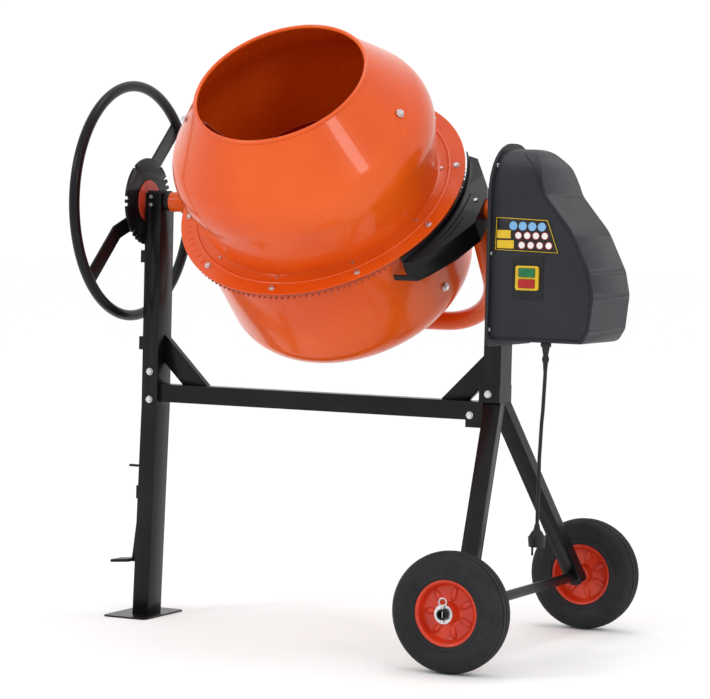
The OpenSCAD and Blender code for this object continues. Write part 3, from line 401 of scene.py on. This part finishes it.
finishes = {slot: madeFinish(plan) for slot, plan in finishPlans.items()}
finishes["shaft_steel"] = groundSteel(steelPlan)
for slot, (name, dark, light, rough) in plainFinishes.items():
    finishes[slot] = madeFinish({**plainPlan, "name": name, "dark": dark, "light": light, "rough": rough})
slotOf = {row["node"]: row["material_slot"] for row in frame["record"]["subparts"]}


def dress(piece, slot):
    piece.data.materials.clear()
    piece.data.materials.append(finishes[slot])
    "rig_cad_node" not in piece
    return piece


for node, source in frame["nodes"].items():
    dress(source, slotOf[node])
lead.data.materials.append(finishes["cord_rubber"])
print("finishes made")


# Rolled square tube, folded plate and moulded parts keep their cut shape with eased edges
eased = {
    # node: edge in millimetres
    "foot_plate": 1.2, "left_leg": 1.4, "left_post": 1.4, "cross_beam": 1.4, "left_brace": 1.6,
    "right_brace": 1.6, "right_post": 1.4, "junction_bracket": 0.8, "front_leg": 1.4, "rear_leg": 1.4,
    "wheel_axle": 0.6, "rod_guides": 1.2, "housing_backplate": 0.8, "motor_cover": 1.5, "switch_plate": 0.8,
    "foot_pedal": 1.5, "lock_rod": 0.8, "handwheel_spoke": 1.4, "notched_disc": 0.8, "hub_disc": 1.6,
    "gear_guard": 0.9, "frame_bolts": 0.6, "cover_screws": 0.7, "axle_washers": 0.5, "ring_bolts": 0.6,
    "blade_bolts": 0.6, "cable_gland": 0.7, "switch_frame": 1.6, "start_button": 1.5, "stop_button": 1.5,
    "mixing_blades": 0.9, "drum_bearing": 1.5, "label_plate": 0.4,
}


def easeEdges():
    for node, edge in eased.items():
        dress(softened(node, edge), slotOf[node])


easeEdges()
print("frame eased")


# Closed outline (radius, height) in millimetres spun about the upright axis
def spun(outline, steps):
    bpy.ops.mesh.primitive_circle_add(vertices=len(outline))
    piece = bpy.context.object
    for point, (radius, height) in zip(piece.data.vertices, outline):
        point.co = (radius * mm, 0, height * mm)
    bpy.ops.object.mode_set(mode="EDIT")
    bpy.ops.mesh.select_all(action="SELECT")
    bpy.ops.mesh.spin(steps=steps, angle=2 * pi, center=(0, 0, 0), axis=(0, 0, 1))
    bpy.ops.mesh.select_all(action="SELECT")
    bpy.ops.mesh.remove_doubles(threshold=mergeGap)
    bpy.ops.mesh.normals_make_consistent(inside=False)
    bpy.ops.object.mode_set(mode="OBJECT")
    return piece


def turned(name, outline, steps, place, body, slot, angle=40):
    piece = spun(outline, steps)
    piece.name = name
    return settled(piece, place, body, slot, angle)


# The piece and its copies, each with its own mesh, moved to their places
def copiesAt(piece, places):
    made = [piece]
    for _ in places[1:]:
        copy = piece.copy()
        copy.data = piece.data.copy()
        bpy.context.collection.objects.link(copy)
        made.append(copy)
    for copy, place in zip(made, places):
        copy.data.transform(place)
    return made


def sized(*size):
    return Matrix.Diagonal((*[v * mm for v in size], 1))


def moved(x, y, z):
    return Matrix.Translation((x * mm, y * mm, z * mm))


# Puts a finished piece in its place, on its body, with its finish
def settled(piece, place, body, slot, angle=40):
    piece.data.transform(place @ piece.matrix_world)
    piece.matrix_world = Matrix.Identity(4)
    smooth(piece, angle)
    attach(piece, body)
    return dress(piece, slot)


def joined(name, pieces):
    only(pieces[0])
    for piece in pieces:
        piece.select_set(True)
    if len(pieces) > 1:
        bpy.ops.object.join()
    bpy.ops.object.transform_apply(location=True, rotation=True, scale=True)
    pieces[0].name = name
    return pieces[0]


# Points that round the corner between two straight runs
def cornerArc(before, corner, after, radius, steps):
    before, corner, after = Vector(before), Vector(corner), Vector(after)
    one, two = (before - corner).normalized(), (after - corner).normalized()
    half = acos(one.dot(two)) / 2
    centre = corner + (one + two).normalized() * radius / sin(half)
    start = corner + one * radius / tan(half) - centre
    end = corner + two * radius / tan(half) - centre
    first = atan2(start.y, start.x)
    sweep = (atan2(end.y, end.x) - first + pi) % (2 * pi) - pi
    turns = [first + sweep * i / steps for i in range(steps + 1)]
    return [(centre.x + radius * cos(a), centre.y + radius * sin(a)) for a in turns]


drum = {
    "tilt": 43,
    "axisHeight": 940,
    "sheet": 3,
    "bowlTop": 295, "bowlLow": 276, "bowlDepth": 258, "bowlRound": 84, "bowlSideEnd": 20,
    "spindleHole": 15.2,
    "ringOut": 324.5, "ringLow": 37.1, "ringMid": 39.5, "ringTop": 42, "ringEdge": 0.6, "ringGap": 0.1,
    "bowlRing": 321,
    "bead": 289, "beadLine": [(3.6, 0), (2.4, 1.3), (0, 2), (-2.4, 1.3), (-3.6, 0)],
    "weldLine": [(3, 0), (0.8, 0.9)], "shellFoot": 3,
    "shellBase": 264, "belly": (300, 206), "shellRound": 106, "mouth": (190.5, 350),
    "lipCentre": (189.5, 350), "lip": 4.5, "lipFrom": -42, "lipSweep": 328,
    "bowlSteps": 22, "shellSteps": 26, "lipSteps": 22, "steps": 160,
}
drumPlace = Matrix.Translation((drumX, 0, drum["axisHeight"] * mm))
drumPlace = drumPlace @ Matrix.Rotation(radians(drum["tilt"]), 4, "X")


def bowlLine(shrink):
    side = (drum["bowlLow"] - shrink, -drum["bowlDepth"] + shrink)
    top = (drum["bowlTop"] - shrink, drum["bowlSideEnd"])
    bend = cornerArc((0, side[1]), side, top, drum["bowlRound"] - shrink, drum["bowlSteps"])
    return [(drum["spindleHole"], side[1]), *bend, top]


def shellLine(shrink):
    base = (drum["shellBase"] - shrink, drum["ringTop"])
    belly = (drum["belly"][0] - shrink, drum["belly"][1])
    mouth = (drum["mouth"][0] - shrink, drum["mouth"][1])
    return [base, *cornerArc(base, belly, mouth, drum["shellRound"], drum["shellSteps"])]


def addDrum():
    sheet, edge, bead = drum["sheet"], drum["ringEdge"], drum["bead"]
    low, middle, high = drum["ringLow"], drum["ringMid"], drum["ringTop"]
    bowl = bowlLine(0)
    bowl += [(drum["bowlTop"], low), (drum["bowlRing"], low), (drum["bowlRing"], middle - drum["ringGap"]),
             (drum["bowlTop"] - sheet, middle - drum["ringGap"])]
    bowl += reversed(bowlLine(sheet))
    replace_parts(turned("drum_bowl", bowl, drum["steps"], drumPlace, "drum", "drum_orange"), "lower_bowl")
    rim = drum["ringOut"]
    flange = [(drum["shellBase"] - sheet, middle), (rim - edge, middle), (rim, middle + edge),
              (rim, high - edge), (rim - edge, high)]
    flange += [(bead + r, high + h) for r, h in drum["beadLine"]]
    flange += [(drum["shellBase"] + r, high + h) for r, h in drum["weldLine"]]
    outer = shellLine(0)
    outer[0] = (outer[0][0], high + drum["shellFoot"])
    x, y = drum["lipCentre"]
    steps = drum["lipSteps"]
    turns = [radians(drum["lipFrom"] + drum["lipSweep"] * i / steps) for i in range(steps + 1)]
    roll = [(x + drum["lip"] * cos(a), y + drum["lip"] * sin(a)) for a in turns]
    shell = flange + outer + roll + list(reversed(shellLine(sheet)[1:]))
    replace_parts(turned("drum_shell", shell, drum["steps"], drumPlace, "drum", "drum_orange"), "upper_shell")


addDrum()
print("drum turned")


tyre = {
    "wheelY": 373.5, "axleX": 485, "axleZ": 125, "steps": 96,
    # (radius, height) of one half, from the bead to the tread's middle
    "half": [(68.2, 27), (71, 30.2), (74, 31.4), (77, 31), (79, 29.8), (82, 30.4), (88, 32.6), (94, 33.7),
             (100, 34), (103, 33.4), (104, 32.2), (106, 32.4), (110, 31.8), (115, 29), (119, 25),
             (121.6, 20.6), (122.6, 18.2), (120.6, 17.4), (120.6, 15), (123.7, 14.2), (124.5, 6.4),
             (122, 5.6), (122, 3.2), (125, 2.4)],
}
wheelPlaces = {
    side: Matrix.Translation((drumX + tyre["axleX"] * mm, y * mm, tyre["axleZ"] * mm))
    @ Matrix.Rotation(radians(turn), 4, "X")
    for side, y, turn in (("front", -tyre["wheelY"], 90), ("rear", tyre["wheelY"], -90))
}
rimPlan = {
    "half": [(11.1, 36), (18.6, 36), (20.4, 34.6), (20.8, 12), (23, 7.6), (28, 6), (50, 4.6), (55, 6.2),
             (58.4, 11), (60.4, 22), (62.6, 25), (65.4, 26.4), (67.9, 26.4)],
    "flutes": 7,
    "fluteRadius": 39,
    "fluteLift": 4.4,
    "fluteSize": (18.5, 7, 6),
    "fluteFacets": (20, 12),
}


def addFlutes(side, place):
    around, along = rimPlan["fluteFacets"]
    bpy.ops.mesh.primitive_uv_sphere_add(segments=around, ring_count=along)
    spots = [Matrix.Rotation(2 * pi * (k + 0.5) / rimPlan["flutes"], 4, "Z")
             @ moved(rimPlan["fluteRadius"], 0, face * rimPlan["fluteLift"]) @ sized(*rimPlan["fluteSize"])
             for k in range(rimPlan["flutes"]) for face in (-1, 1)]
    flutes = copiesAt(bpy.context.object, spots)
    settled(joined(side + "_flutes", flutes), place, side + "_wheel", "rim_red")


def addWheels():
    outline = tyre["half"] + [(r, -h) for r, h in reversed(tyre["half"])]
    rimLine = rimPlan["half"] + [(r, -h) for r, h in reversed(rimPlan["half"])]
    for side, place in wheelPlaces.items():
        body = side + "_wheel"
        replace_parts(turned(side + "_tread", outline, tyre["steps"], place, body, "tyre"), side + "_tyre")
        disc = turned(side + "_disc", rimLine, tyre["steps"], place, body, "rim_red")
        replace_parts(disc, side + "_rim")
        addFlutes(side, place)


addWheels()
print("wheels turned")


handwheel = {"x": -490, "radius": 260, "tube": 12, "steps": 144, "facets": 28}


def addHandwheel():
    radius, tube = handwheel["radius"] * mm, handwheel["tube"] * mm
    bpy.ops.mesh.primitive_torus_add(major_segments=handwheel["steps"], minor_segments=handwheel["facets"],
                                     major_radius=radius, minor_radius=tube)
    place = Matrix.Translation((drumX + handwheel["x"] * mm, 0, drum["axisHeight"] * mm))
    piece = bpy.context.object
    piece.name = "handwheel_tube"
    place = place @ Matrix.Rotation(pi / 2, 4, "Y")
    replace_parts(settled(piece, place, "yoke", "frame_black"), "handwheel_rim")


addHandwheel()


barRoundness = 6


# A bent round bar along points in one plane
def bentBar(name, line, radius, place, body, slot, closed=False):
    data = bpy.data.curves.new(name, "CURVE")
    data.dimensions = "3D"
    data.bevel_depth = radius * mm
    data.bevel_resolution = barRoundness
    data.use_fill_caps = not closed
    run = data.splines.new("POLY")
    run.points.add(len(line) - 1)
    run.use_cyclic_u = closed
    for point, (x, y) in zip(run.points, line):
        point.co = (x * mm, 0, y * mm, 1)
    piece = bpy.data.objects.new(name, data)
    bpy.context.collection.objects.link(piece)
    only(piece)
    bpy.ops.object.convert(target="MESH")
    piece = bpy.context.object
    bpy.ops.object.mode_set(mode="EDIT")
    bpy.ops.mesh.select_all(action="SELECT")
    bpy.ops.mesh.remove_doubles(threshold=mergeGap)
    bpy.ops.mesh.normals_make_consistent(inside=False)
    bpy.ops.object.mode_set(mode="OBJECT")
    return settled(piece, place, body, slot)


yoke = {"depth": 345, "arm": 354, "lean": 28, "bend": 150, "tube": 21, "steps": 22}


def addYoke():
    depth, arm, foot = yoke["depth"], yoke["arm"], yoke["arm"] - yoke["lean"]
    left = cornerArc((-arm, 0), (-foot, -depth), (0, -depth), yoke["bend"], yoke["steps"])
    line = [(-arm, 0), *left, *[(-x, y) for x, y in reversed(left)], (arm, 0)]
    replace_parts(bentBar("yoke_bow", line, yoke["tube"], drumPlace, "yoke", "drum_orange"), "yoke_tube")


addYoke()
print("handwheel and yoke bent")


housing = {
    "side": -107.1,
    # (x, z, corner radius) of the cover's side, from the low flange corner round its end to the top
    "outline": [(439, 664, 0), (648, 664, 18), (664, 692, 20), (672, 765, 60), (662, 815, 60),
                (622, 898, 120), (560, 973, 60), (540, 1033, 40), (509, 1069, 30), (439, 1069, 0)],
    "seamInset": 7, "seam": 1.3, "seamTop": 1056, "leastRound": 2, "cornerSteps": 8,
}


# Outline moved inwards, for points that run anticlockwise
def insetLine(points, distance):
    line = []
    for i, point in enumerate(points):
        a, b = Vector(point) - Vector(points[i - 1]), Vector(points[(i + 1) % len(points)]) - Vector(point)
        one, two = Vector((-a.y, a.x)).normalized(), Vector((-b.y, b.x)).normalized()
        line.append(tuple(Vector(point) + distance * (one + two) / (1 + one.dot(two))))
    return line


def addHousingSeam():
    inset = housing["seamInset"]
    points = insetLine([(x, z) for x, z, bend in housing["outline"]], inset)
    bends = [max(housing["leastRound"], bend - inset) for x, z, bend in housing["outline"]]
    line = [points[0]]
    for i in range(1, len(points) - 1):
        line += cornerArc(points[i - 1], points[i], points[i + 1], bends[i], housing["cornerSteps"])
    line = [p for p in line if p[1] < housing["seamTop"]]
    place = Matrix.Translation((drumX, housing["side"] * mm, 0))
    bentBar("housing_seam", line, housing["seam"], place, "stand", "backplate_steel")


addHousingSeam()


label = {
    "place": (439, -108.6, 940),
    "border": [(10.5, -83.6), (151.5, -87.4), (126.5, -20.6), (12.2, -16.4)],
    "line": 1.0,
    "blueDots": [(50 + 21.4 * k, -33 - 0.4 * k) for k in range(4)],
    "blueSize": 9,
    "redRings": [(62 + 19.8 * k, -53) for k in range(4)] + [(70 + 20.2 * k, -73) for k in range(4)],
    "ringSize": 8.2,
    "ringWidth": 1.5,
    "print": 0.5,       # thickness of the printed discs and panels
    "lift": 0.05,
    "whiteLift": 0.25,
    "discSides": 40,
    "panels": [(29, -51, 31, 17), (33, -72, 38, 17)],
}


def flatDiscs(name, centres, radius, lift, place, slot):
    bpy.ops.mesh.primitive_cylinder_add(vertices=label["discSides"], radius=radius * mm,
                                        depth=label["print"] * mm)
    spots = [moved(x, -lift, z) @ Matrix.Rotation(pi / 2, 4, "X") for x, z in centres]
    settled(joined(name, copiesAt(bpy.context.object, spots)), place, "stand", slot)


def addLabel():
    x, y, z = label["place"]
    place = Matrix.Translation((x * mm + drumX, y * mm, z * mm))
    bentBar("label_border", label["border"], label["line"], place, "stand", "switch_yellow", closed=True)
    flatDiscs("label_blue", label["blueDots"], label["blueSize"], label["lift"], place, "label_blue")
    flatDiscs("label_rings", label["redRings"], label["ringSize"], label["lift"], place, "button_red")
    white = label["ringSize"] - label["ringWidth"]
    flatDiscs("label_whites", label["redRings"], white, label["whiteLift"], place, "label_white")
    bpy.ops.mesh.primitive_cube_add(size=1)
    spots = [moved(x, -label["lift"], z) @ sized(width, label["print"], height)
             for x, z, width, height in label["panels"]]
    settled(joined("label_panels", copiesAt(bpy.context.object, spots)), place, "stand", "switch_yellow")


addLabel()
print("label laid")


cordGrip = {
    "steps": 40,
    "shade": 32,
    # (radius, height) from inside the gland down to where the lead comes free
    "outline": [(0, 641), (3.7, 641), (3.8, 637.2), (5.4, 636.8), (6.9, 633.6), (7.6, 629.6), (7.2, 625.8),
                (5.9, 622.6), (5.2, 620.4), (5.6, 619.4), (5.2, 618.2), (4.9, 615.4), (5.2, 614.4),
                (4.8, 613.2), (4.6, 609.8), (4.3, 604), (0, 604)],
}


def addCordGrip():
    x, y, z = cordPlan["route"][0]
    place = Matrix.Translation((x * mm + drumX, y * mm, 0))
    turned("cord_grip", cordGrip["outline"], cordGrip["steps"], place, "stand", "cord_rubber",
           cordGrip["shade"])


addCordGrip()
print("cord grip turned")


washer = {"edge": 0.3, "steps": 28, "shade": 30}
ringWashers = {
    "count": 10, "angle": 17.5, "radius": 305, "height": 41.9,
    "size": (7.2, 1.2, 4.4),        # radius, thickness, hole
}
frameWashers = {
    "size": (8.2, 1.3, 4.4),
    # x, height, distance to the front
    "places": [(-423, 556, 30), (-423, 493, 30), (409, 546, 33), (368, 499, 33)],
}


# One washer is spun and copied to each place
def washersAt(name, places, size, body, slot):
    radius, thick, hole = size
    edge = washer["edge"]
    outline = [(hole, 0), (radius - edge, 0), (radius, edge), (radius, thick - edge), (radius - edge, thick),
               (hole, thick)]
    made = copiesAt(spun(outline, washer["steps"]), places)
    return settled(joined(name, made), Matrix.Identity(4), body, slot, washer["shade"])


def addWashers():
    count = ringWashers["count"]
    angles = [radians(ringWashers["angle"] + 360 * k / count) for k in range(count)]
    out = moved(ringWashers["radius"], 0, ringWashers["height"])
    ring = [drumPlace @ Matrix.Rotation(a, 4, "Z") @ out for a in angles]
    washersAt("ring_washers", ring, ringWashers["size"], "drum", "zinc")
    front = [Matrix.Translation((drumX + x * mm, -d * mm, z * mm)) @ Matrix.Rotation(pi / 2, 4, "X")
             for x, z, d in frameWashers["places"]]
    washersAt("frame_washers", front, frameWashers["size"], "stand", "zinc")


addWashers()
print("washers added")


seam = {"radius": 262, "height": 39.4, "tube": 1.5, "steps": 144}
pressedRibs = {
    "first": -165, "step": 4.25, "count": 9,
    "radius": 307.5, "size": (9, 2.4, 1.6), "facets": (16, 10),
}
guard = {
    # radius, height, tube, first and last angle
    "ribs": [(345, 27.6, 1.7, -34, 3), (357, 27.6, 1.3, -28, -9)],
    "ribSteps": 24,
    "screws": [(364, -2), (325, 10), (317, 52)],
    "screwHeight": 27.4,
    "screwSize": (4.6, 3.0, 0.4),
}


# Points of an arc about the drum's middle, in degrees
def arcPoints(radius, first, last, steps):
    angles = [radians(first + (last - first) * i / steps) for i in range(steps + 1)]
    return [(radius * cos(a), radius * sin(a)) for a in angles]


# The drum's place with a bar's flat plane laid square to the drum's axis
def ringPlace(height):
    return drumPlace @ moved(0, 0, height) @ Matrix.Rotation(-pi / 2, 4, "X")


def addDrumDetail():
    circle = arcPoints(seam["radius"], 0, 360, seam["steps"])[:-1]
    bentBar("inner_seam", circle, seam["tube"], ringPlace(seam["height"]), "drum", "drum_orange", closed=True)
    around, along = pressedRibs["facets"]
    bpy.ops.mesh.primitive_uv_sphere_add(segments=around, ring_count=along)
    spots = [Matrix.Rotation(radians(pressedRibs["first"] + pressedRibs["step"] * k), 4, "Z")
             @ moved(pressedRibs["radius"], 0, drum["ringTop"]) @ sized(*pressedRibs["size"])
             for k in range(pressedRibs["count"])]
    settled(joined("ring_ribs", copiesAt(bpy.context.object, spots)), drumPlace, "drum", "drum_orange")


def addGuardDetail():
    for k, (radius, height, tube, first, last) in enumerate(guard["ribs"]):
        arc = arcPoints(radius, first, last, guard["ribSteps"])
        bentBar("guard_rib_%d" % (k + 1), arc, tube, ringPlace(height), "yoke", "frame_black")
    spots = [drumPlace @ moved(x, y, guard["screwHeight"]) for x, y in guard["screws"]]
    washersAt("guard_screws", spots, guard["screwSize"], "yoke", "zinc")


addDrumDetail()
addGuardDetail()
print("ribs and screws added")
